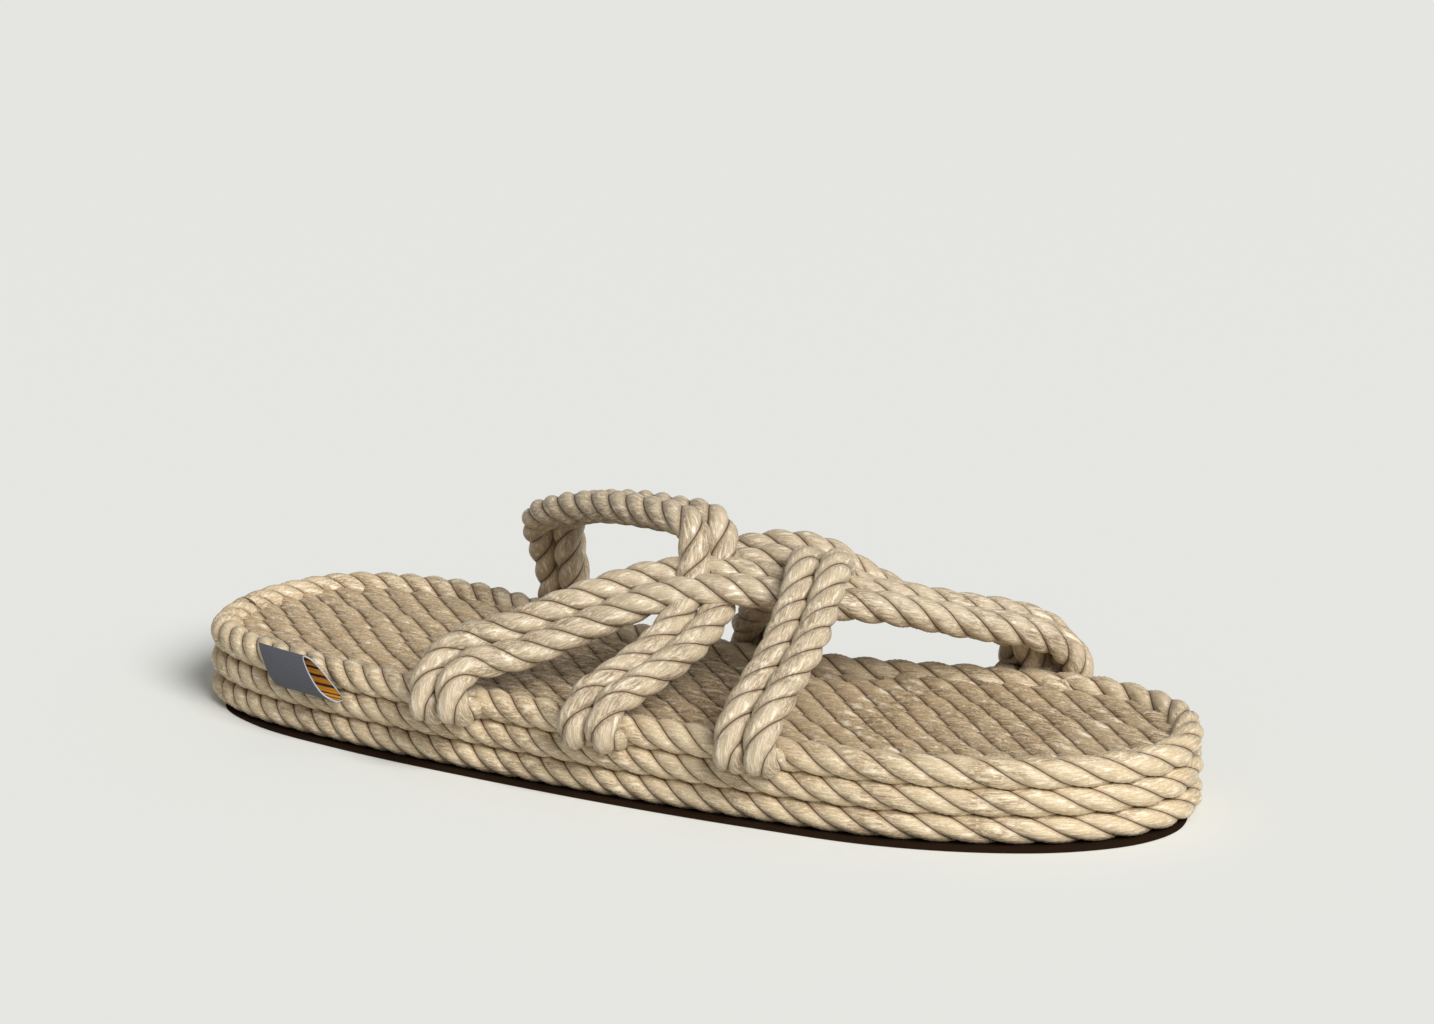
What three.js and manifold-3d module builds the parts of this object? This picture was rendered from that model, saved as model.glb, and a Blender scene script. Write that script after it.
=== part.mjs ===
// A slip-on rope sandal for the right foot, standing empty on a floor.
// Millimetres, +Z up, +X to the toe, +Y to the inner side of the foot.
import * as THREE from 'three';
import { mergeVertices } from 'three/addons/utils/BufferGeometryUtils.js';
import Module from 'manifold-3d';

const wasm = await Module();
wasm.setup();

// Driving dimensions
const ROPE = 8;               // diameter of the three-strand rope where it lies free
const COURSE = 6.6;           // height from one sewn course of rope to the next
const ROW = 6.4;              // spacing of the sewn rows in a mat
const SOLE_LENGTH = 260;
const SOLE_WIDTH = 87.4;
const GAP = 0.3;              // clearance left between neighbouring pieces
const FOOTBED_DROP = 2.4;     // how far the tops of the footbed rows lie below the top of the rim
const GROOVE = 1.5;           // depth of the groove between two rows of a mat
const RIM_SINK = 0.4;         // how far the rim rope is pressed into the course below it
const EDGE_LAP = 0.7;         // share of the edge rope's width that the outsole's rows stay in from the outline
const PAIR = 0.97 * ROPE;     // spacing of the two ropes of a strap, which press on each other
const STRAP_RISE = 37.7;      // height of the highest strap above the middle of the rim
const LABEL_LENGTH = 26;      // along the seam that holds it
const LABEL_HEIGHT = 9.2;
const LABEL_BULGE = 5.4;      // how far the label's loop stands out from the sole at its open end
const LABEL_FLAT = 2.4;       // and at its flat end
const LABEL_SLANT = 10;       // how far the fold falls short of the seam at the open end
const LABEL_SINK = 0.6;       // how far its foot lies below the rim rope
const LABEL_SEAT = 0.5;       // how far its back stands off the sole
const LABEL_ALONG = 0.1005;   // share of the outline, from the heel along the outer side, at its middle
const CLOTH = 0.7;            // thickness of the woven label

// Facets
const STRAP_FULLNESS = 1.03;  // the flat facets of a strap's rope lie as far out as the round rope on average
const RING_STEPS = 76;
const STRAP_STEP = 4.6;
const STRAP_SIDES = 8;
const RING_SIDES = 10;
const LABEL_STEPS = 18;
const LABEL_STATIONS = 4;
const CUT_OVER = 1;           // how far a cut goes on past the face that it opens
const ROW_LAP = 0.04;         // neighbouring rows of a mat overlap by this much, so that they join
const ROW_CROWN = 0.55;       // share of a row's width that its flat top takes

// Levels
const UNDER_RIM = 2 * COURSE + 0.5 * GAP;
const RIM_TOP = 2 * COURSE + ROPE - RIM_SINK;
const RIM_MID = RIM_TOP - ROPE / 2;
const FOOTBED_TOP = RIM_TOP - FOOTBED_DROP;

// Sole outline, one row per point: share of the length from heel to toe, and share of the half width,
// positive on the inner side of the foot.
const OUTLINE = [
  [0.001, 0.00], [0.024, -0.42], [0.090, -0.68], [0.206, -0.84], [0.359, -0.94], [0.514, -0.995],
  [0.650, -0.995], [0.764, -0.955], [0.860, -0.80], [0.934, -0.56], [0.983, -0.24], [0.999, 0.09],
  [0.986, 0.42], [0.944, 0.76], [0.859, 0.955], [0.749, 0.87], [0.618, 0.68], [0.458, 0.63],
  [0.303, 0.80], [0.164, 0.985], [0.052, 0.81], [0.008, 0.40],
];

// Straps, one table per double rope. Columns: the middle of the pair as shares, x of the sole's length, y of
// its half width and height of the strap rise above the middle of the rim, then the compass turn and the
// tilt, in degrees, of the line from its first rope to its second.
const HEEL_SIDE_BAND = [
  [-0.154, -1.053, -0.127, -4, 0], [-0.156, -1.089, 0.032, -5, 0], [-0.158, -1.030, 0.191, -12, -4],
  [-0.146, -0.904, 0.316, -32, -24], [-0.106, -0.744, 0.403, -48, -42],
  [-0.058, -0.503, 0.559, -54, -42], [-0.002, -0.275, 0.710, -57, -22],
  [0.059, -0.103, 0.742, -58, -14], [0.125, 0.069, 0.668, -59, -6], [0.184, 0.286, 0.608, -58, -6],
  [0.236, 0.549, 0.496, -56, -8], [0.278, 0.801, 0.395, -48, -9], [0.299, 0.973, 0.255, -38, -10],
  [0.301, 1.059, 0.032, -30, 0], [0.297, 1.030, -0.127, -20, 0],
];
const INSTEP_BAND = [
  [-0.217, 0.883, -0.127, -12, 0], [-0.220, 0.924, 0.032, -12, 0], [-0.217, 0.870, 0.244, -14, 0],
  [-0.215, 0.778, 0.483, -4, 0], [-0.207, 0.675, 0.697, 22, 12], [-0.177, 0.561, 0.817, 44, 2],
  [-0.118, 0.400, 0.936, 56, -6], [-0.048, 0.206, 1.016, 58, -8], [0.015, 0.034, 1.021, 68, -6],
  [0.031, -0.092, 0.788, 60, -4], [0.038, -0.217, 0.642, 40, -2], [0.037, -0.389, 0.509, 4, -8],
  [0.030, -0.618, 0.390, -24, -12], [0.015, -0.824, 0.284, -22, -8], [0.002, -1.018, 0.178, -8, 0],
  [-0.000, -1.103, 0.005, -2, 0], [0.002, -1.062, -0.127, -2, 0],
];
const TOE_SIDE_BAND = [
  [0.159, -1.062, -0.127, 0, 0], [0.159, -1.103, 0.019, 0, 0], [0.159, -1.041, 0.204, -2, 0],
  [0.161, -0.870, 0.363, -6, 0], [0.163, -0.618, 0.562, -6, 0], [0.155, -0.366, 0.708, -6, 0],
  [0.144, -0.114, 0.873, -2, 0], [0.130, 0.103, 0.868, 8, 0], [0.109, 0.297, 0.668, 28, 0],
  [0.073, 0.481, 0.509, 42, 0], [0.032, 0.618, 0.310, 34, 0], [0.013, 0.709, 0.125, 12, 0],
  [0.011, 0.723, 0.005, 2, 0], [0.011, 0.682, -0.127, 0, 0],
];
const CROSS_BAND = [
  [-0.010, 0.114, 0.687, -62, -8], [0.028, 0.206, 0.767, -64, -8], [0.071, 0.263, 0.833, -66, -10],
  [0.111, 0.320, 0.807, -66, -12], [0.144, 0.412, 0.666, -62, -10], [0.182, 0.606, 0.483, -56, -1],
  [0.219, 0.801, 0.395, -44, -2], [0.253, 0.950, 0.284, -36, -6], [0.260, 1.016, 0.059, -24, 0],
  [0.258, 0.979, -0.127, -16, 0],
];

// Section of the label's loop. Columns: shares of its bulge outwards and of its height.
const LABEL_LOOP = [
  [0, 0], [0.02, 0.42], [0.16, 0.86], [0.5, 0.98], [0.9, 0.62], [0.98, 0.2], [0.5, -0.06],
];
const LABEL_MIDDLE = [0.48, 0.5];
const LABEL_THINNEST = 0.6;   // where the loop is narrow, its wall takes this share of the half width

// Geometry helpers

function toSolid(geometry) {
  const bare = geometry.clone();
  for (const name of ['normal', 'uv']) if (bare.getAttribute(name)) bare.deleteAttribute(name);
  const merged = mergeVertices(bare, 1e-4);
  return new wasm.Manifold(new wasm.Mesh({
    numProp: 3,
    vertProperties: new Float32Array(merged.attributes.position.array),
    triVerts: new Uint32Array(merged.index.array),
  }));
}

function toGeometry(solid) {
  const mesh = solid.getMesh();
  const geometry = new THREE.BufferGeometry();
  geometry.setAttribute('position', new THREE.BufferAttribute(new Float32Array(mesh.vertProperties), 3));
  geometry.setIndex(new THREE.BufferAttribute(new Uint32Array(mesh.triVerts), 1));
  geometry.computeVertexNormals();
  return geometry;
}

function join(solids) {
  return solids.reduce((sum, next) => sum.add(next));
}

// A closed skin over rings of equal length: the last ring meets the first, or both ends are capped.
function skin(rings, closed) {
  const sides = rings[0].length;
  const points = rings.flat();
  const index = [];
  const spans = closed ? rings.length : rings.length - 1;
  for (let i = 0; i < spans; i++) {
    for (let j = 0; j < sides; j++) {
      const a = i * sides + j;
      const b = i * sides + (j + 1) % sides;
      const c = ((i + 1) % rings.length) * sides + j;
      const d = ((i + 1) % rings.length) * sides + (j + 1) % sides;
      index.push(a, b, d, a, d, c);
    }
  }
  if (!closed) {
    const last = (rings.length - 1) * sides;
    for (let j = 1; j < sides - 1; j++) index.push(0, j + 1, j, last, last + j, last + j + 1);
  }
  const geometry = new THREE.BufferGeometry().setFromPoints(points);
  geometry.setIndex(index);
  return geometry;
}

// Sole outline as a smooth closed curve, and the same moved inwards
const outlineCurve = new THREE.CatmullRomCurve3(OUTLINE.map(([along, across]) =>
  new THREE.Vector3((along - 0.5) * SOLE_LENGTH, across * SOLE_WIDTH / 2, 0)), true, 'centripetal');

function outlineRing(inset, steps = RING_STEPS) {
  const ring = [];
  for (let i = 0; i < steps; i++) {
    const at = outlineCurve.getPointAt(i / steps);
    const run = outlineCurve.getTangentAt(i / steps);
    const outward = new THREE.Vector3(run.y, -run.x, 0);
    ring.push({ point: at.clone().addScaledVector(outward, -inset), outward });
  }
  return ring;
}

// Ring of rope round the sole, with a section that is round above and below but flattened by its neighbours
function courseRing(middle, width, height, inset) {
  const rings = outlineRing(inset).map(({ point, outward }) => {
    const section = [];
    for (let j = 0; j < RING_SIDES; j++) {
      const turn = -2 * Math.PI * (j + 0.5) / RING_SIDES;
      const reach = 1 / Math.cos(Math.PI / RING_SIDES);
      const side = Math.cos(turn) * reach * width / 2;
      const rise = Math.max(-0.5, Math.min(0.5, Math.sin(turn) * reach / 2 * width / height)) * height;
      section.push(point.clone().addScaledVector(outward, side).setZ(middle + rise));
    }
    return section;
  });
  return skin(rings, true);
}

// Upright slab of the sole's outline
function slab(inset, low, high) {
  const shape = new THREE.Shape(outlineRing(inset).map(({ point }) => new THREE.Vector2(point.x, point.y)));
  return new THREE.ExtrudeGeometry(shape, { depth: high - low, bevelEnabled: false }).translate(0, 0, low);
}

// Mat of rope rows that run from heel to toe, with a groove between neighbours on its outer face
function rows(low, high, facingUp = false) {
  const half = (ROW + ROW_LAP) / 2;
  const [face, back, groove] = facingUp ? [high, low, -GROOVE] : [low, high, GROOVE];
  const section = new THREE.Shape([
    [-half, back], [-half, face + groove], [-ROW_CROWN * half, face], [ROW_CROWN * half, face],
    [half, face + groove], [half, back],
  ].map(([x, y]) => new THREE.Vector2(x, y)));
  const count = Math.ceil(SOLE_WIDTH / ROW / 2);
  const mats = [];
  for (let k = -count; k <= count; k++) {
    const row = new THREE.ExtrudeGeometry(section, { depth: SOLE_LENGTH, bevelEnabled: false });
    row.rotateX(Math.PI / 2).rotateZ(Math.PI / 2);
    row.translate(-SOLE_LENGTH / 2, k * ROW, 0);
    mats.push(toSolid(row));
  }
  return join(mats);
}

// One rope of a strap: a tube beside the middle line of its pair
function strapRope(table, side, radius) {
  const middle = new THREE.CatmullRomCurve3(table.map(([along, across, up]) => new THREE.Vector3(
    along * SOLE_LENGTH, across * SOLE_WIDTH / 2, RIM_MID + up * STRAP_RISE)), false, 'centripetal');
  const lean = new THREE.CatmullRomCurve3(table.map(([, , , turn, tilt]) => {
    const t = THREE.MathUtils.degToRad(turn);
    const r = THREE.MathUtils.degToRad(tilt);
    return new THREE.Vector3(Math.cos(t) * Math.cos(r), Math.sin(t) * Math.cos(r), Math.sin(r));
  }), false, 'centripetal');
  const steps = Math.round(middle.getLength() / STRAP_STEP);
  const rings = [];
  for (let i = 0; i <= steps; i++) {
    const t = middle.getUtoTmapping(i / steps);
    const run = middle.getTangent(t).normalize();
    const across = lean.getPoint(t);
    across.addScaledVector(run, -across.dot(run)).normalize();
    const over = new THREE.Vector3().crossVectors(run, across);
    const centre = middle.getPoint(t).addScaledVector(across, side * PAIR / 2);
    const ring = [];
    for (let j = 0; j < STRAP_SIDES; j++) {
      const turn = 2 * Math.PI * (j + 0.5) / STRAP_SIDES;
      ring.push(centre.clone().addScaledVector(across, Math.cos(turn) * radius)
        .addScaledVector(over, Math.sin(turn) * radius));
    }
    rings.push(ring);
  }
  return toSolid(skin(rings, false));
}

function straps(radius) {
  const bands = [HEEL_SIDE_BAND, INSTEP_BAND, TOE_SIDE_BAND, CROSS_BAND];
  return join(bands.flatMap((table) => [-1, 1].map((side) => strapRope(table, side, radius))));
}

// Solids
const strapRadius = ROPE / 2 * STRAP_FULLNESS;
const upperSolid = straps(strapRadius);
const upperSpace = straps(strapRadius + GAP);

const bodyHeight = COURSE - GAP;
const outsoleSolid = join([
  toSolid(courseRing(bodyHeight / 2, ROPE, bodyHeight, ROPE / 2)),
  rows(0, bodyHeight).intersect(toSolid(slab(EDGE_LAP * ROPE, -1, COURSE))),
]);
const middleSolid = join([
  toSolid(courseRing(1.5 * COURSE, ROPE, bodyHeight, ROPE / 2)),
  toSolid(slab(ROPE / 2, COURSE + GAP / 2, 2 * COURSE - GAP / 2)),
]).subtract(upperSpace);
const rimHeight = RIM_TOP - UNDER_RIM;
const rimMiddle = (RIM_TOP + UNDER_RIM) / 2;
const rimSolid = toSolid(courseRing(rimMiddle, ROPE, rimHeight, ROPE / 2)).subtract(upperSpace);
const rimSpace = toSolid(courseRing(rimMiddle, ROPE + 2 * GAP, rimHeight + 2 * GAP, ROPE / 2));
const footbedSolid = rows(UNDER_RIM, FOOTBED_TOP, true)
  .intersect(toSolid(slab(ROPE / 2, 0, RIM_TOP))).subtract(rimSpace);

// Woven label folded into a loop that opens to the toe, its ends sewn under the rim at the outer heel
function labelRings(wall, overrun) {
  const loop = new THREE.CatmullRomCurve3(LABEL_LOOP.map(([out, up]) => new THREE.Vector3(out, up, 0)),
    true, 'centripetal').getSpacedPoints(LABEL_STEPS).slice(0, -1);
  const rings = [];
  for (let i = 0; i <= LABEL_STATIONS; i++) {
    const share = i / LABEL_STATIONS;
    const bulge = THREE.MathUtils.lerp(LABEL_FLAT, LABEL_BULGE, share);
    const middle = new THREE.Vector2(LABEL_MIDDLE[0] * bulge, LABEL_MIDDLE[1] * LABEL_HEIGHT);
    rings.push(loop.map((p) => {
      const at = new THREE.Vector2(p.x * bulge, p.y * LABEL_HEIGHT);
      const inwards = middle.clone().sub(at);
      at.addScaledVector(inwards.clone().normalize(), Math.min(wall, LABEL_THINNEST * inwards.length()));
      const along = (share - 0.5) * (LABEL_LENGTH + 2 * overrun) - LABEL_SLANT * share * p.y;
      const place = LABEL_ALONG + along / outlineCurve.getLength();
      const run = outlineCurve.getTangentAt(place);
      return outlineCurve.getPointAt(place).addScaledVector(new THREE.Vector3(run.y, -run.x, 0),
        LABEL_SEAT + at.x).setZ(UNDER_RIM - LABEL_SINK + at.y);
    }));
  }
  return rings;
}
const labelSolid = toSolid(skin(labelRings(0, 0), false))
  .subtract(toSolid(skin(labelRings(CLOTH, CUT_OVER), false)));

const rope = { roughness: 0.62, metalness: 0 };
const fibre = new THREE.MeshStandardMaterial({ color: '#b7a481', ...rope });
const fibreShade = new THREE.MeshStandardMaterial({ color: '#ad9a78', ...rope });
const labelCloth = new THREE.MeshStandardMaterial({ color: '#4a4c55', roughness: 0.9, metalness: 0 });

function piece(name, geometry, material) {
  const mesh = new THREE.Mesh(geometry, material);
  mesh.name = name;
  return mesh;
}

const sandal = new THREE.Group();
sandal.add(
  piece('outsole', toGeometry(outsoleSolid), fibreShade),
  piece('middle_course', toGeometry(middleSolid), fibreShade),
  piece('footbed', toGeometry(footbedSolid), fibre),
  piece('rim_rope', toGeometry(rimSolid), fibre),
  piece('upper', toGeometry(upperSolid), fibre),
  piece('label', toGeometry(labelSolid), labelCloth),
);

// The origin is on the floor under the middle of the whole sandal's box.
const box = new THREE.Box3().setFromObject(sandal);
sandal.position.set(-(box.min.x + box.max.x) / 2, -(box.min.y + box.max.y) / 2, -box.min.z);

export default sandal;
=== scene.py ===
"""A right-foot sandal made all of twisted rope, standing empty on a pale studio floor."""

import bisect
import math
import bpy
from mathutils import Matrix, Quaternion, Vector


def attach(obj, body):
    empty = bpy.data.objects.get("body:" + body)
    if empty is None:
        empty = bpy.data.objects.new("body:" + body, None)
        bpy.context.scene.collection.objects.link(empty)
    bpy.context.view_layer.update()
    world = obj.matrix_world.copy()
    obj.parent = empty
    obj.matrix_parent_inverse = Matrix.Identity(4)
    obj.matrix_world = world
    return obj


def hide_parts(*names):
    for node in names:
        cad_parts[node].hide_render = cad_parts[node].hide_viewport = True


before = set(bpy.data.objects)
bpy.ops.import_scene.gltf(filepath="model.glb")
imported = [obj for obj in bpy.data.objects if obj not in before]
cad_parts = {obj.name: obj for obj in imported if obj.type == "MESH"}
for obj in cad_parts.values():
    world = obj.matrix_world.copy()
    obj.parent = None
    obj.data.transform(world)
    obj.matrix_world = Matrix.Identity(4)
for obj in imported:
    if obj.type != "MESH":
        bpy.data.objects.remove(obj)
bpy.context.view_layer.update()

bpy.ops.object.select_all(action="DESELECT")

# Sizes of the sandal, in metres
MM = 0.001
ROPE = 8 * MM                  # a strap's rope where it lies free
COURSE = 6.6 * MM              # height from one course of the sole to the next
ROW = 6.4 * MM                 # spacing of the sewn rows
SOLE_LENGTH = 260 * MM
SOLE_WIDTH = 87.4 * MM
PAIR = 0.97 * ROPE             # spacing of a strap's two ropes
STRAP_RISE = 37.7 * MM
RIM_SUNK = 0.4 * MM            # the rim is pressed this far down into the middle course
RIM_TOP = 2 * COURSE + ROPE - RIM_SUNK
RIM_MID = RIM_TOP - ROPE / 2
FOOTBED_DROP = 2.4 * MM
SOLE_PLACE = Vector((0.123, -0.047, 0)) * MM    # the middle of the sole's outline in the row frame

# Ropes as they show: widths, and the length of one full turn of their strands
STRAP_ROPE = 8.2 * MM
RIM_ROPE = 7.9 * MM
COURSE_ROPE = 7.8 * MM
ROW_ROPE = 7.1 * MM
FILLER_ROPE = 6.4 * MM
STRAP_LAY = 21.5 * MM
ROW_LAY = 24.6 * MM
ROW_STEP = 6.5 * MM            # creases lie this much nearer to the heel from each row to the next
STRANDS = 3
STRAND_CENTRE = 0.34           # a strand's middle and radius, as shares of the rope's radius
STRAND_ROUND = 0.66
STRAP_TURN = 0.9               # a strap's two ropes start turned this far to either side, in radians
LEAD = 0.5 * MM                # a rope with cut ends starts this much early, and is then cut
SPARE_TURN = 0.05              # and ropes are laid at least this part of a turn too long
SPLICE_GAP = 0.06 * MM         # the two ends of a ring of rope that lie nearer than this are one
RING_STEP = 2.2 * MM
STRAP_STEP = 2 * MM
TUCKED_STEP = 1.4 * MM
ROPE_SMOOTH = math.radians(60)          # faces that meet at less than this are shaded as one

# How the ropes of the sole lie
PRESSED = 0.5 * MM             # courses press this far into each other
LOW_HEIGHT = COURSE + PRESSED           # height of the lowest edge rope, pressed from above
MIDDLE_HEIGHT = COURSE + 1.6 * PRESSED  # and of the middle one, pressed from both sides
FILLER_INSET = 0.85 * ROPE     # filler ropes close the creases between the courses from inside
ROWS_INSET = 0.75              # rows start this far in from the outline, in widths of the edge rope
SHORTEST_ROW = 12 * MM
OUTSOLE_LIFT = 0.1 * MM        # keeps the lowest rows off the floor
ROW_SLIP = 0.8 * MM            # how unevenly rows are sewn: along, up and across
ROW_LIFT = 0.2 * MM
ROW_SWAY = 0.25 * MM

# Sole outline: share of the length from the heel, share of the half width towards the inner side
OUTLINE = [
    (0.001, 0.00), (0.024, -0.42), (0.090, -0.68), (0.206, -0.84), (0.359, -0.94), (0.514, -0.995),
    (0.650, -0.995), (0.764, -0.955), (0.860, -0.80), (0.934, -0.56), (0.983, -0.24), (0.999, 0.09),
    (0.986, 0.42), (0.944, 0.76), (0.859, 0.955), (0.749, 0.87), (0.618, 0.68), (0.458, 0.63),
    (0.303, 0.80), (0.164, 0.985), (0.052, 0.81), (0.008, 0.40),
]

# Straps. Columns: the middle of the pair as shares of the sole's length, of its half width and of the strap
# rise above the middle of the rim, then the turn and tilt in degrees of the line from first to second rope.
HEEL_SIDE_BAND = [
    (-0.154, -1.053, -0.127, -4, 0), (-0.156, -1.089, 0.032, -5, 0), (-0.158, -1.030, 0.191, -12, -4),
    (-0.146, -0.904, 0.316, -32, -24), (-0.106, -0.744, 0.403, -48, -42),
    (-0.058, -0.503, 0.559, -54, -42), (-0.002, -0.275, 0.710, -57, -22),
    (0.059, -0.103, 0.742, -58, -14), (0.125, 0.069, 0.668, -59, -6), (0.184, 0.286, 0.608, -58, -6),
    (0.236, 0.549, 0.496, -56, -8), (0.278, 0.801, 0.395, -48, -9), (0.299, 0.973, 0.255, -38, -10),
    (0.301, 1.059, 0.032, -30, 0), (0.297, 1.030, -0.127, -20, 0),
]
INSTEP_BAND = [
    (-0.217, 0.883, -0.127, -12, 0), (-0.220, 0.924, 0.032, -12, 0), (-0.217, 0.870, 0.244, -14, 0),
    (-0.215, 0.778, 0.483, -4, 0), (-0.207, 0.675, 0.697, 22, 12), (-0.177, 0.561, 0.817, 44, 2),
    (-0.118, 0.400, 0.936, 56, -6), (-0.048, 0.206, 1.016, 58, -8), (0.015, 0.034, 1.021, 68, -6),
    (0.031, -0.092, 0.788, 60, -4), (0.038, -0.217, 0.642, 40, -2), (0.037, -0.389, 0.509, 4, -8),
    (0.030, -0.618, 0.390, -24, -12), (0.015, -0.824, 0.284, -22, -8), (0.002, -1.018, 0.178, -8, 0),
    (-0.000, -1.103, 0.005, -2, 0), (0.002, -1.062, -0.127, -2, 0),
]
TOE_SIDE_BAND = [
    (0.159, -1.062, -0.127, 0, 0), (0.159, -1.103, 0.019, 0, 0), (0.159, -1.041, 0.204, -2, 0),
    (0.161, -0.870, 0.363, -6, 0), (0.163, -0.618, 0.562, -6, 0), (0.155, -0.366, 0.708, -6, 0),
    (0.144, -0.114, 0.873, -2, 0), (0.130, 0.103, 0.868, 8, 0), (0.109, 0.297, 0.668, 28, 0),
    (0.073, 0.481, 0.509, 42, 0), (0.032, 0.618, 0.310, 34, 0), (0.013, 0.709, 0.125, 12, 0),
    (0.011, 0.723, 0.005, 2, 0), (0.011, 0.682, -0.127, 0, 0),
]
CROSS_BAND = [
    (-0.010, 0.114, 0.687, -62, -8), (0.028, 0.206, 0.767, -64, -8), (0.071, 0.263, 0.833, -66, -10),
    (0.111, 0.320, 0.807, -66, -12), (0.144, 0.412, 0.666, -62, -10), (0.182, 0.606, 0.483, -56, -1),
    (0.219, 0.801, 0.395, -44, -2), (0.253, 0.950, 0.284, -36, -6), (0.260, 1.016, 0.059, -24, 0),
    (0.258, 0.979, -0.127, -16, 0),
]

# How a strap's end goes on, from where it is as low as the rim's middle, into the crease under the rim:
# mm inwards, mm down
TUCK = [(2.0, 1.2), (5.0, 1.8), (10.0, 1.8)]

# Lay of the courses' rope, in mm, which is twisted tighter at the heel: share of the outline, lay
COURSE_LAYS = [
    (0, 17), (0.1, 17), (0.22, 19.5), (0.3, 21), (0.36, 25), (0.42, 27), (0.52, 26), (0.7, 23), (1, 17),
]

# Label: a strip folded over into a loop, which opens towards the toe
LABEL_LENGTH = 26 * MM
LABEL_HEIGHT = 9.2 * MM
LABEL_ROUND = 2.4 * LABEL_HEIGHT        # the strip's width, once round the loop
LABEL_BULGE = 5.4 * MM         # how far the loop stands off the rim at its open end
LABEL_FLAT = 2.4 * MM          # and at its flat end
LABEL_SLANT = 10 * MM          # how far the fold falls short of the seam at the open end
LABEL_TAPER = 6 * MM           # and how far the seam falls short of the fold at the flat end
LABEL_SEAT = 0.5 * MM          # the seam lies this far outside the outline
LABEL_FOOT = 2 * COURSE - 0.45 * MM     # the seam's height, in the crease under the rim
LABEL_ALONG = 0.1005           # share of the outline at the label's middle
LABEL_CLOTH = 0.35 * MM
LABEL_WELD = 0.02 * MM         # the strip's two ends meet in the seam
LABEL_EDGE_WIDTH = 0.2         # mm of lighter edge at the open end
LABEL_STEP = 0.5 * MM
LABEL_SMOOTH = math.radians(50)
# The loop seen from its open end: shares of the bulge outwards, shares of the height up
LABEL_LOOP = [(0, 0), (0.02, 0.42), (0.16, 0.86), (0.5, 0.98), (0.9, 0.62), (0.98, 0.2), (0.5, -0.06)]

# Studio. The painted shadow is a dark patch laid on the floor: the sole's outline moved inwards and then
# towards the camera
FLOOR_SIZE = 12
KEY_STRENGTH = 3.6
KEY_SOFTNESS = math.radians(32)
KEY_DIRECTION = Vector((-0.85, 0.5, -0.75))
AIR_STRENGTH = 0.3
SHADE_INSET = 4 * MM
SHADE_HEIGHT = 0.1 * MM
SHADE_REACH = Vector((3.5, -6.5, 0)) * MM

# Camera, worked out from the sole's outline in the photograph
CAMERA_PLACE = Vector((0.68765, -1.22955, 0.44378))
CAMERA_AIM = Vector((0.00005, 0.01474, 0.05517))
CAMERA_ROLL = math.radians(-0.31)
CAMERA_LENS = 155.1
CAMERA_SENSOR = 36

# Colours read from the photograph, as sRGB
FIBRE_LIGHT = "#DFCEAF"
FIBRE = "#C6B08D"
FIBRE_DARK = "#93795A"
STRAP_LIGHT = "#D5C5A9"
STRAP = "#B9A689"
STRAP_DARK = "#877157"
# The footbed's rope colours are painted darker, as painted shade down inside the sole
SHADED_BED_LIGHT = "#D2BD9B"
SHADED_BED = "#AB9372"
SHADED_BED_DARK = "#7A6244"
# painted shade in the creases between the strands
CREASE_SHADE = "#4A3722"
# a painted highlight on the brightest fibre bundles
PAINTED_GLINT = "#F4E8CE"
LABEL_GREY = "#55575F"
LABEL_EDGE = "#9DA1AA"
LABEL_INSIDE = "#17171A"
LABEL_THREAD = "#D39222"
FLOOR = "#E7E8E3"
# colour of the shadow painted on the floor
PAINTED_SHADOW = "#2B1F16"
WHITE = "#FFFFFF"


def linear(hex_colour):
    """An sRGB hex colour as the linear RGBA that shaders take."""
    parts = [int(hex_colour[i:i + 2], 16) / 255 for i in (1, 3, 5)]
    return [p / 12.92 if p <= 0.04045 else ((p + 0.055) / 1.055) ** 2.4 for p in parts] + [1.0]


# Curves

def catmull(points, closed, step):
    """Points every step along a centripetal Catmull-Rom curve, each with the row number it lies at."""
    n, cuts = len(points), 24
    spans = n if closed else n - 1
    fine = []
    for i in range(spans):
        p1, p2 = points[i], points[(i + 1) % n]
        p0 = points[i - 1] if closed or i > 0 else p1 * 2 - p2
        p3 = points[(i + 2) % n] if closed or i + 2 < n else p2 * 2 - p1
        t1 = math.sqrt((p1 - p0).length)
        t2 = t1 + math.sqrt((p2 - p1).length)
        t3 = t2 + math.sqrt((p3 - p2).length)
        for k in range(cuts):
            t = t1 + (t2 - t1) * k / cuts
            a1 = p0 * ((t1 - t) / t1) + p1 * (t / t1)
            a2 = p1 * ((t2 - t) / (t2 - t1)) + p2 * ((t - t1) / (t2 - t1))
            a3 = p2 * ((t3 - t) / (t3 - t2)) + p3 * ((t - t2) / (t3 - t2))
            b1 = a1 * ((t2 - t) / t2) + a2 * (t / t2)
            b2 = a2 * ((t3 - t) / (t3 - t1)) + a3 * ((t - t1) / (t3 - t1))
            fine.append((b1 * ((t2 - t) / (t2 - t1)) + b2 * ((t - t1) / (t2 - t1)), i + k / cuts))
    fine.append((points[0].copy(), float(n)) if closed else (points[-1].copy(), float(n - 1)))
    length = sum((b[0] - a[0]).length for a, b in zip(fine, fine[1:]))
    count = max(4, round(length / step))
    even, walked, j = [], 0.0, 0
    for k in range(count + 1):
        target = length * k / count
        while j < len(fine) - 2 and walked + (fine[j + 1][0] - fine[j][0]).length < target:
            walked += (fine[j + 1][0] - fine[j][0]).length
            j += 1
        a, b = fine[j], fine[j + 1]
        share = (target - walked) / max((b[0] - a[0]).length, 1e-9)
        even.append((a[0].lerp(b[0], share), a[1] + (b[1] - a[1]) * share))
    return even


def outward_of(run):
    """The direction out of the sole, where its outline runs along run."""
    return Vector((run.y, -run.x, 0))


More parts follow.
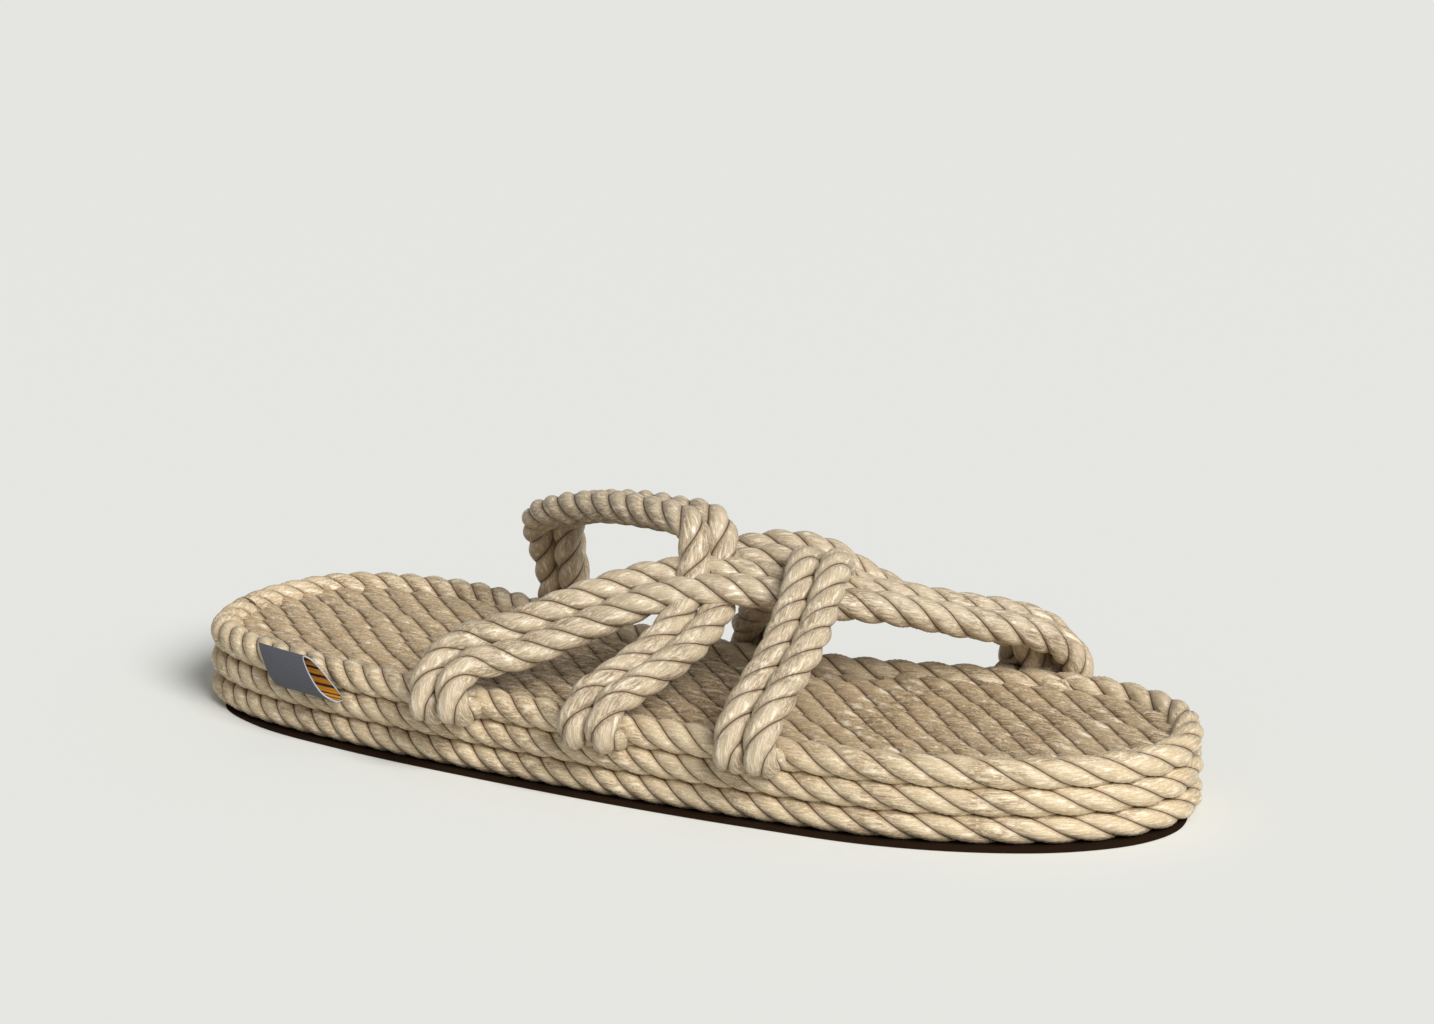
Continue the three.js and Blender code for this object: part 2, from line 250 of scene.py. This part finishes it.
def sole_ring(inset, height, step=RING_STEP):
    """The sole's outline moved inwards, as points at that height."""
    corners = [Vector(((along - 0.5) * SOLE_LENGTH, across * SOLE_WIDTH / 2, 0)) for along, across in OUTLINE]
    even = [p for p, _ in catmull(corners, True, step)][:-1]
    ring = []
    for i, p in enumerate(even):
        run = (even[(i + 1) % len(even)] - even[i - 1]).normalized()
        ring.append(SOLE_PLACE + p - outward_of(run) * inset + Vector((0, 0, height)))
    return ring


# Rope

def section_reach(off):
    """How far the skin of three pressed strands lies from the rope's middle, as a share of its radius."""
    return STRAND_CENTRE * math.cos(off) + math.sqrt(STRAND_ROUND ** 2 - (STRAND_CENTRE * math.sin(off)) ** 2)


def laid_rope(name, length, diameter, lay, sides=12, steps=16, start=0.0, capped=True):
    """Straight three-strand rope along X, its section drawn once and screwed forward. sides are per strand,
    closer together at the creases, steps are per turn, and start turns the strands."""
    third = 2 * math.pi / STRANDS
    bpy.ops.mesh.primitive_circle_add(vertices=sides * STRANDS, radius=diameter / 2,
                                      rotation=(0, math.pi / 2, 0))
    rope = bpy.context.object
    rope.name = name
    bpy.ops.object.transform_apply(location=True, rotation=True, scale=True)
    for i, v in enumerate(rope.data.vertices):
        strand, k = divmod(i, sides)
        off = third / 2 * math.sin(math.pi / 2 * (2 * k / sides - 1))
        turn = -(start + strand * third + off)
        reach = section_reach(off) * diameter / 2
        v.co = (-LEAD if capped else 0, math.cos(turn) * reach, math.sin(turn) * reach)
    screw = rope.modifiers.new("lay", "SCREW")
    screw.axis = "X"
    screw.angle = 2 * math.pi
    screw.screw_offset = lay
    screw.iterations = math.ceil(length / lay + SPARE_TURN)
    screw.steps = screw.render_steps = steps
    screw.use_smooth_shade = True
    bpy.ops.object.modifier_apply(modifier=screw.name)
    if capped:
        cut(rope, (0, 0, 0), (-1, 0, 0))
        cut(rope, (length, 0, 0), (1, 0, 0))
    return rope


def cut(obj, place, outward):
    """Cuts away what lies outward of a plane, and closes the cut."""
    bpy.context.view_layer.objects.active = obj
    bpy.ops.object.mode_set(mode="EDIT")
    bpy.ops.mesh.select_all(action="SELECT")
    bpy.ops.mesh.bisect(plane_co=place, plane_no=outward, clear_outer=True, use_fill=True)
    bpy.ops.mesh.select_all(action="DESELECT")
    bpy.ops.object.mode_set(mode="OBJECT")


def keep_straight_place(rope, diameter):
    """Stores where each point lay on the straight rope, and how near to the strands' crowns: the fibres of its
    material follow them, and so does the shade painted on the strands' flanks and in the creases."""
    rope.data.attributes.new("straight", "FLOAT_VECTOR", "POINT")
    rope.data.attributes.new("crown", "FLOAT", "POINT")
    stored = rope.data.attributes
    for v, place, crown in zip(rope.data.vertices, stored["straight"].data, stored["crown"].data):
        place.vector = v.co
        crown.value = math.hypot(v.co.y, v.co.z) * 2 / diameter


def twist_unevenly(rope, length, lays):
    """Spreads a straight rope of even lay along itself, so that its lay follows the table. What lies beyond the
    length, which on a ring is the last turn, ends up flat in its end."""
    slices = 1200
    turned = [0.0]                 # turns of the strands up to the end of each slice
    for i in range(slices):
        share = (i + 0.5) / slices
        after = next(k for k in range(1, len(lays)) if share <= lays[k][0])
        (s0, l0), (s1, l1) = lays[after - 1], lays[after]
        turned.append(turned[-1] + 1 / (l0 + (l1 - l0) * (share - s0) / (s1 - s0)))
    for v in rope.data.vertices:
        wanted = min(max(v.co.x / length, 0.0), 1.0) * turned[-1]
        i = min(bisect.bisect_right(turned, wanted) - 1, slices - 1)
        v.co.x = (i + (wanted - turned[i]) / (turned[i + 1] - turned[i])) / slices * length


def bend_along(rope, points, closed=False):
    """Bends a straight rope along points, with a curve that is then gone."""
    data = bpy.data.curves.new("route", "CURVE")
    data.dimensions = "3D"
    data.twist_mode = "MINIMUM"
    spline = data.splines.new("POLY")
    spline.points.add(len(points) - 1)
    for i, p in enumerate(points):
        spline.points[i].co = (*p, 1)
    spline.use_cyclic_u = closed
    route = bpy.data.objects.new("route", data)
    bpy.context.collection.objects.link(route)
    bend = rope.modifiers.new("bend", "CURVE")
    bend.object = route
    bend.deform_axis = "POS_X"
    bpy.context.view_layer.objects.active = rope
    bpy.ops.object.modifier_apply(modifier=bend.name)
    bpy.data.objects.remove(route)
    bpy.data.curves.remove(data)


def route_length(points, closed=False):
    """The length of the line through points, with the way back to the first one where it is closed."""
    total = sum((b - a).length for a, b in zip(points, points[1:]))
    return total + ((points[0] - points[-1]).length if closed else 0)


def ring_rope(name, inset, middle, diameter, height, start=0.0):
    """A course of rope round the sole, flattened a little by its neighbours, its ends spliced together."""
    points = sole_ring(inset, middle)
    length = route_length(points, True)
    spans = zip(COURSE_LAYS, COURSE_LAYS[1:])
    mean_lay = sum((b[0] - a[0]) * (a[1] + b[1]) / 2 for a, b in spans) * MM
    rope = laid_rope(name, length, diameter, length / round(length / mean_lay), start=start, capped=False)
    twist_unevenly(rope, length, COURSE_LAYS)
    keep_straight_place(rope, diameter)
    bend_along(rope, points, True)
    for v in rope.data.vertices:
        v.co.z = middle + (v.co.z - middle) * height / diameter
    bpy.ops.object.mode_set(mode="EDIT")
    bpy.ops.mesh.select_all(action="DESELECT")
    bpy.ops.mesh.select_mode(type="VERT")
    bpy.ops.mesh.select_non_manifold()
    bpy.ops.mesh.remove_doubles(threshold=SPLICE_GAP)
    bpy.ops.object.mode_set(mode="OBJECT")
    return rope


def row_spans(y, inset):
    """Where a line at y crosses the sole's outline moved inwards: pairs of x, heel end first."""
    ring = sole_ring(inset, 0)
    marks = []
    for a, b in zip(ring, ring[1:] + ring[:1]):
        if (a.y - y) * (b.y - y) < 0:
            marks.append(a.x + (y - a.y) / (b.y - a.y) * (b.x - a.x))
    marks.sort()
    return [(a, b) for a, b in zip(marks[::2], marks[1::2]) if b - a > SHORTEST_ROW]


def sewn_rows(name, middle, height, inset, sides, steps):
    """Rows of rope laid side by side from heel to toe, each ending under the edge rope. The strands of
    neighbours lie almost in line, which shows as slanting lines across the mat. The sines keep neighbours from
    matching exactly, as in a mat sewn by hand."""
    count = math.ceil(SOLE_WIDTH / ROW / 2)
    rows = []
    for k in range(-count, count + 1):
        y = k * ROW + SOLE_PLACE.y
        for low, high in row_spans(y, inset):
            shift = ROW_STEP * k + ROW_SLIP * math.sin(5.1 * k)
            lift = ROW_LIFT * math.sin(3.7 * k)
            row = laid_rope(f"{name}_{k}", high - low, ROW_ROPE, ROW_LAY, sides, steps,
                            start=-2 * math.pi * (low + shift) / ROW_LAY)
            keep_straight_place(row, ROW_ROPE)
            for v in row.data.vertices:
                x = v.co.x + low
                sway = ROW_SWAY * math.sin(x * 90 + 2.3 * k)
                v.co = (x, y + v.co.y + sway, middle + lift + v.co.z * height / ROW_ROPE)
            rows.append(row)
    return rows


def joined(name, pieces):
    """Pieces as one object of that name, its faces turned outwards and shaded smooth but for the cut ends."""
    bpy.ops.object.select_all(action="DESELECT")
    for piece in pieces:
        piece.select_set(True)
    bpy.context.view_layer.objects.active = pieces[0]
    if len(pieces) > 1:
        bpy.ops.object.join()
    obj = bpy.context.object
    obj.name = obj.data.name = name
    bpy.ops.object.mode_set(mode="EDIT")
    bpy.ops.mesh.select_all(action="SELECT")
    bpy.ops.mesh.normals_make_consistent(inside=False)
    bpy.ops.object.mode_set(mode="OBJECT")
    bpy.ops.object.shade_smooth_by_angle(angle=ROPE_SMOOTH)
    bpy.ops.object.select_all(action="DESELECT")
    return obj


def tucked(points):
    """The points of a strap's rope with the ends led on into the crease under the rim."""
    routes = list(points)
    for end in (0, -1):
        if points[end].z > RIM_MID:
            continue
        while routes[end].z < RIM_MID:
            routes.pop(end)
        foot = routes[end].copy()
        inwards = -math.copysign(1, foot.y)
        for into, down in TUCK:
            tip = foot + Vector((0, inwards * into, -down)) * MM
            routes.insert(0 if end == 0 else len(routes), tip)
    return [p for p, _ in catmull(routes, False, TUCKED_STEP)]


def strap_pair(name, table):
    """A strap of two ropes side by side, its ends tucked into the crease under the rim."""
    knots, leans = [], []
    for along, across, up, turn, tilt in table:
        knots.append(SOLE_PLACE + Vector((along * SOLE_LENGTH, across * SOLE_WIDTH / 2,
                                          RIM_MID + up * STRAP_RISE)))
        t, r = math.radians(turn), math.radians(tilt)
        leans.append(Vector((math.cos(t) * math.cos(r), math.sin(t) * math.cos(r), math.sin(r))))
    middle = catmull(knots, False, STRAP_STEP)
    ropes = []
    for side in (-1, 1):
        points = []
        for i, (p, place) in enumerate(middle):
            run = (middle[min(i + 1, len(middle) - 1)][0] - middle[max(i - 1, 0)][0]).normalized()
            low = min(int(place), len(leans) - 2)
            lean = leans[low].lerp(leans[low + 1], place - low)
            lean = (lean - run * lean.dot(run)).normalized()
            points.append(p + lean * side * PAIR / 2)
        points = tucked(points)
        rope = laid_rope(name, route_length(points), STRAP_ROPE, STRAP_LAY, 14, 22,
                         start=STRAP_TURN * side)
        keep_straight_place(rope, STRAP_ROPE)
        bend_along(rope, points)
        ropes.append(rope)
    return joined(name, ropes)


# Label

def label_strip(name, outer, inner):
    """Woven strip whose two ends are sewn in under the rim, so that it makes a loop."""
    columns, rows = 26, 44
    outline = [p - SOLE_PLACE for p in sole_ring(0, 0, LABEL_STEP)]
    loop = [p for p, _ in catmull([Vector((out, up, 0)) for out, up in LABEL_LOOP], True, 0.01)]
    bpy.ops.mesh.primitive_grid_add(x_subdivisions=columns, y_subdivisions=rows, size=2)
    strip = bpy.context.object
    strip.name = strip.data.name = name
    weave = strip.data.uv_layers.new(name="weave")
    spots = []
    for v in strip.data.vertices:
        share, round_loop = (v.co.x + 1) / 2, (v.co.y + 1) / 2
        spots.append((share * LABEL_LENGTH / MM, round_loop * LABEL_ROUND / MM))
        spot = loop[round(round_loop * (len(loop) - 1))]
        bulge = LABEL_FLAT + (LABEL_BULGE - LABEL_FLAT) * share
        along = (share - 0.5) * LABEL_LENGTH + LABEL_TAPER * (1 - share) * (1 - spot.y) - \
            LABEL_SLANT * share * spot.y
        at = (LABEL_ALONG + along / route_length(outline, True)) * len(outline)
        i = int(at)
        a, b = outline[i], outline[i + 1]
        v.co = SOLE_PLACE + a.lerp(b, at - i) + outward_of((b - a).normalized()) * (
            LABEL_SEAT + spot.x * bulge) + Vector((0, 0, LABEL_FOOT + spot.y * LABEL_HEIGHT))
    for loop_corner, uv in zip(strip.data.loops, weave.data):
        uv.uv = spots[loop_corner.vertex_index]
    bpy.ops.object.mode_set(mode="EDIT")
    bpy.ops.mesh.select_all(action="SELECT")
    bpy.ops.mesh.remove_doubles(threshold=LABEL_WELD)
    bpy.ops.mesh.normals_make_consistent(inside=False)
    bpy.ops.object.mode_set(mode="OBJECT")
    dress(strip, outer, inner)
    wall = strip.modifiers.new("cloth", "SOLIDIFY")
    wall.thickness = LABEL_CLOTH
    wall.offset = -1
    wall.material_offset = 1
    bpy.ops.object.modifier_apply(modifier=wall.name)
    bpy.ops.object.shade_smooth_by_angle(angle=LABEL_SMOOTH)
    bpy.ops.object.select_all(action="DESELECT")
    return strip


# Materials

def add(tree, kind, place=(0, 0), settings=(), **sockets):
    """Adds one shader node and sets its settings and its sockets by name."""
    node = tree.nodes.new(kind)
    node.location = place
    for name, value in dict(settings).items():
        setattr(node, name, value)
    for name, value in sockets.items():
        node.inputs[name.replace("_", " ")].default_value = value
    return node


def mixed(tree, share, low, high, place=(0, 0)):
    """Colour between low and high by the socket share. low and high are colours or sockets."""
    node = add(tree, "ShaderNodeMix", place, {"data_type": "RGBA"})
    tree.links.new(share, node.inputs[0])
    for socket, value in ((node.inputs[6], low), (node.inputs[7], high)):
        if isinstance(value, str):
            socket.default_value = linear(value)
        else:
            tree.links.new(value, socket)
    return node.outputs[2]


def ranged(tree, value, low, high, to_low=0.0, to_high=1.0, place=(0, 0)):
    """The socket value, led smoothly from low..high to to_low..to_high and held there beyond them."""
    node = add(tree, "ShaderNodeMapRange", place, {"interpolation_type": "SMOOTHSTEP"},
               From_Min=low, From_Max=high, To_Min=to_low, To_Max=to_high)
    tree.links.new(value, node.inputs["Value"])
    return node.outputs["Result"]


def material(name):
    """A new material with its node tree and its Principled shader."""
    made = bpy.data.materials.new(name)
    made.use_nodes = True
    tree = made.node_tree
    tree.nodes.clear()
    shader = add(tree, "ShaderNodeBsdfPrincipled", (500, 0))
    out = add(tree, "ShaderNodeOutputMaterial", (800, 0))
    tree.links.new(shader.outputs["BSDF"], out.inputs["Surface"])
    return made, tree, shader


def rope_fibre(name, light, middle, dark):
    """Twisted synthetic rope: fine silky filaments that run almost straight along the rope, with a painted
    highlight on the brightest bundles and painted shade on the strands' flanks and in their creases.
    """
    made, tree, shader = material(name)
    straight = add(tree, "ShaderNodeAttribute", (-1700, 0), {"attribute_name": "straight"})
    crown = add(tree, "ShaderNodeAttribute", (-1700, -400), {"attribute_name": "crown"})

    def streaks(stretch, scale, detail, place):
        along = add(tree, "ShaderNodeMapping", place, Scale=(stretch, 1, 1))
        noise = add(tree, "ShaderNodeTexNoise", (place[0] + 200, place[1]), Scale=scale, Detail=detail,
                    Roughness=0.6)
        tree.links.new(straight.outputs["Vector"], along.inputs["Vector"])
        tree.links.new(along.outputs["Vector"], noise.inputs["Vector"])
        return noise.outputs["Fac"]

    filament = streaks(0.09, 3200, 2, (-1450, 300))     # filaments, 0.3 mm across
    bundle = streaks(0.22, 900, 2, (-1450, 50))         # bundles of them that catch the light, 1 mm across
    drift = streaks(0.5, 160, 1, (-1450, -200))         # slow changes of tone along the rope
    tone = mixed(tree, ranged(tree, drift, 0.35, 0.65, place=(-1000, -200)), dark, middle, (-800, -100))
    tone = mixed(tree, ranged(tree, bundle, 0.38, 0.62, 0.15, 0.95, (-1000, 50)), tone, middle, (-650, 0))
    tone = mixed(tree, ranged(tree, filament, 0.42, 0.66, 0, 0.9, (-1000, 300)), tone, light, (-500, 100))
    # painted highlight: the brightest bundles are mixed towards a pale glint colour
    painted_glint = ranged(tree, bundle, 0.56, 0.7, 0, 0.7, (-800, 350))
    tone = mixed(tree, painted_glint, tone, PAINTED_GLINT, (-350, 150))
    # painted shade: each strand darkens towards its flanks beside the creases
    flank_shade = ranged(tree, crown.outputs["Fac"], 0.78, 0.9, 0.4, 1, (-1000, -300))
    tone = mixed(tree, flank_shade, dark, tone, (-200, 50))
    # painted shade: dark brown in the creases between the strands
    crease_shade = ranged(tree, crown.outputs["Fac"], 0.766, 0.8, place=(-1000, -450))
    tone = mixed(tree, crease_shade, CREASE_SHADE, tone, (-50, 50))
    tree.links.new(tone, shader.inputs["Base Color"])
    fine = add(tree, "ShaderNodeBump", (0, -300), Strength=0.8, Distance=0.18 * MM)
    coarse = add(tree, "ShaderNodeBump", (200, -400), Strength=0.6, Distance=0.35 * MM)
    tree.links.new(filament, fine.inputs["Height"])
    tree.links.new(bundle, coarse.inputs["Height"])
    tree.links.new(fine.outputs["Normal"], coarse.inputs["Normal"])
    tree.links.new(coarse.outputs["Normal"], shader.inputs["Normal"])
    tree.links.new(ranged(tree, bundle, 0.4, 0.7, 0.56, 0.33, (0, 350)), shader.inputs["Roughness"])
    shader.inputs["Sheen Weight"].default_value = 0.08
    shader.inputs["Sheen Roughness"].default_value = 0.4
    shader.inputs["Specular IOR Level"].default_value = 0.55
    return made


def woven(name, colour, edge, stripes, weight):
    """Woven label: a fine weave across, an edge along its open end, and stripes of thread along it."""
    made, tree, shader = material(name)
    place = add(tree, "ShaderNodeUVMap", (-1400, 0), {"uv_map": "weave"})
    parts = add(tree, "ShaderNodeSeparateXYZ", (-1200, 200))
    tree.links.new(place.outputs["UV"], parts.inputs["Vector"])
    warp = add(tree, "ShaderNodeTexWave", (-1000, 0), {"bands_direction": "X"}, Scale=0.75)
    weft = add(tree, "ShaderNodeTexWave", (-1000, -300), {"bands_direction": "Y"}, Scale=0.5)
    thread = add(tree, "ShaderNodeTexWave", (-1000, 500), {"bands_direction": "Y"}, Scale=0.21,
                 Distortion=1.2, Detail_Scale=0.6)
    for node in (warp, weft, thread):
        tree.links.new(place.outputs["UV"], node.inputs["Vector"])
    cross = add(tree, "ShaderNodeMath", (-750, -100), {"operation": "MULTIPLY"})
    tree.links.new(warp.outputs["Fac"], cross.inputs[0])
    tree.links.new(weft.outputs["Fac"], cross.inputs[1])
    tone = mixed(tree, ranged(tree, thread.outputs["Fac"], 0.12, 0.4, 0, weight, (-750, 500)), colour, stripes,
                 (-500, 300))
    edge_at = LABEL_LENGTH / MM - LABEL_EDGE_WIDTH
    at_edge = ranged(tree, parts.outputs["X"], edge_at - 0.05, edge_at + 0.05, place=(-750, 200))
    tone = mixed(tree, at_edge, tone, edge, (-250, 200))
    tree.links.new(tone, shader.inputs["Base Color"])
    bump = add(tree, "ShaderNodeBump", (200, -300), Strength=0.7, Distance=0.2 * MM)
    tree.links.new(cross.outputs[0], bump.inputs["Height"])
    tree.links.new(bump.outputs["Normal"], shader.inputs["Normal"])
    shader.inputs["Roughness"].default_value = 0.75
    return made


def plain(name, colour, roughness):
    """One even colour, dull all over."""
    made, _, shader = material(name)
    shader.inputs["Base Color"].default_value = linear(colour)
    shader.inputs["Roughness"].default_value = roughness
    return made


def dress(obj, *materials):
    """Puts materials on a piece, in the order of its slots."""
    obj.data.materials.clear()
    for made in materials:
        obj.data.materials.append(made)


def placed(obj, node):
    """Ties a piece to the sandal, in the place of a node of the frame."""
    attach(obj, "root")
    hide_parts(node)


# Sandal

fibre = rope_fibre("edge rope, silky polypropylene", FIBRE_LIGHT, FIBRE, FIBRE_DARK)
strap_fibre = rope_fibre("strap rope, silky polypropylene", STRAP_LIGHT, STRAP, STRAP_DARK)
# painted shade: the footbed's rope is the same rope in darker colours
shaded_bed_fibre = rope_fibre("footbed rope, the same rope painted darker for shade", SHADED_BED_LIGHT, SHADED_BED, SHADED_BED_DARK)

# Each ring's strands start turned a little differently, so that no two courses match
outsole = joined("outsole_rope", [
    ring_rope("outsole_edge", COURSE_ROPE / 2, LOW_HEIGHT / 2, COURSE_ROPE, LOW_HEIGHT, start=0.4)]
    + sewn_rows("outsole_row", COURSE / 2 + OUTSOLE_LIFT, COURSE - 2 * OUTSOLE_LIFT,
                ROWS_INSET * COURSE_ROPE, sides=6, steps=12))
middle_ring = joined("middle_rope", [
    ring_rope("middle_edge", COURSE_ROPE / 2, 1.5 * COURSE + PRESSED / 2, COURSE_ROPE, MIDDLE_HEIGHT,
              start=1.3),
    ring_rope("low_filler", FILLER_INSET, COURSE, FILLER_ROPE, FILLER_ROPE, start=2.0),
    ring_rope("high_filler", FILLER_INSET, 2 * COURSE, FILLER_ROPE, FILLER_ROPE, start=0.8)])
rim = joined("rim_rope_laid", [
    ring_rope("rim_edge", RIM_ROPE / 2, RIM_TOP - RIM_ROPE / 2, RIM_ROPE, RIM_ROPE)])
footbed = joined("footbed_rope", sewn_rows(
    "footbed_row", RIM_TOP - FOOTBED_DROP - ROW_ROPE / 2, ROW_ROPE, ROWS_INSET * RIM_ROPE, sides=10, steps=14))
for obj, node, made in ((outsole, "outsole", fibre), (middle_ring, "middle_course", fibre),
                        (rim, "rim_rope", fibre), (footbed, "footbed", shaded_bed_fibre)):
    dress(obj, made)
    placed(obj, node)

for name, table in (("heel_side_strap", HEEL_SIDE_BAND), ("instep_strap", INSTEP_BAND),
                    ("toe_side_strap", TOE_SIDE_BAND), ("cross_strap", CROSS_BAND)):
    strap = strap_pair(name, table)
    dress(strap, strap_fibre)
    placed(strap, "upper")

label = label_strip(
    "label_strip", woven("label, grey woven ribbon", LABEL_GREY, LABEL_EDGE, LABEL_GREY, 0),
    woven("inner face of the label, black with gold threads", LABEL_INSIDE, LABEL_INSIDE, LABEL_THREAD, 1))
placed(label, "label")

# Studio: a wide pale floor under an even sky, with a soft key light from the toe and the front

bpy.ops.mesh.primitive_plane_add(size=FLOOR_SIZE, location=(0, 0, 0))
floor = bpy.context.object
floor.name = "studio_floor"
dress(floor, plain("studio floor, matte pale paper", FLOOR, 0.9))
bpy.ops.object.select_all(action="DESELECT")

# The photograph shows a dark band of shade on the floor along the near edge of the sole
# a dark sheet painted in as that shadow, lying just above the floor
shade_ring = sole_ring(SHADE_INSET, SHADE_HEIGHT)
bpy.ops.mesh.primitive_circle_add(vertices=len(shade_ring), radius=SOLE_WIDTH, fill_type="NGON")
shade = bpy.context.object
shade.name = "painted_floor_shadow"
for v, spot in zip(shade.data.vertices, shade_ring):
    v.co = spot + SHADE_REACH
dress(shade, plain("painted shadow on the floor under the sole", PAINTED_SHADOW, 1))
shade.data.materials[0].node_tree.nodes["Principled BSDF"].inputs["Specular IOR Level"].default_value = 0
bpy.ops.object.select_all(action="DESELECT")

key = bpy.data.lights.new("key", "SUN")
key.energy = KEY_STRENGTH
key.angle = KEY_SOFTNESS
key_lamp = bpy.data.objects.new("key", key)
bpy.context.collection.objects.link(key_lamp)
key_lamp.rotation_euler = KEY_DIRECTION.to_track_quat("-Z", "Y").to_euler()

world = bpy.data.worlds.new("studio air")
bpy.context.scene.world = world
world.use_nodes = True
air = world.node_tree.nodes["Background"]
air.inputs["Color"].default_value = linear(WHITE)
air.inputs["Strength"].default_value = AIR_STRENGTH

camera = bpy.data.objects.new("camera", bpy.data.cameras.new("camera"))
bpy.context.collection.objects.link(camera)
camera.data.lens = CAMERA_LENS
camera.data.sensor_width = CAMERA_SENSOR
camera.location = CAMERA_PLACE
camera.rotation_mode = "QUATERNION"
camera.rotation_quaternion = (CAMERA_AIM - CAMERA_PLACE).to_track_quat("-Z", "Y") @ Quaternion(
    (0, 0, 1), CAMERA_ROLL)
camera.data.clip_start = 0.05
camera.data.clip_end = 50
bpy.context.scene.camera = camera
bpy.context.scene.view_settings.view_transform = "Standard"
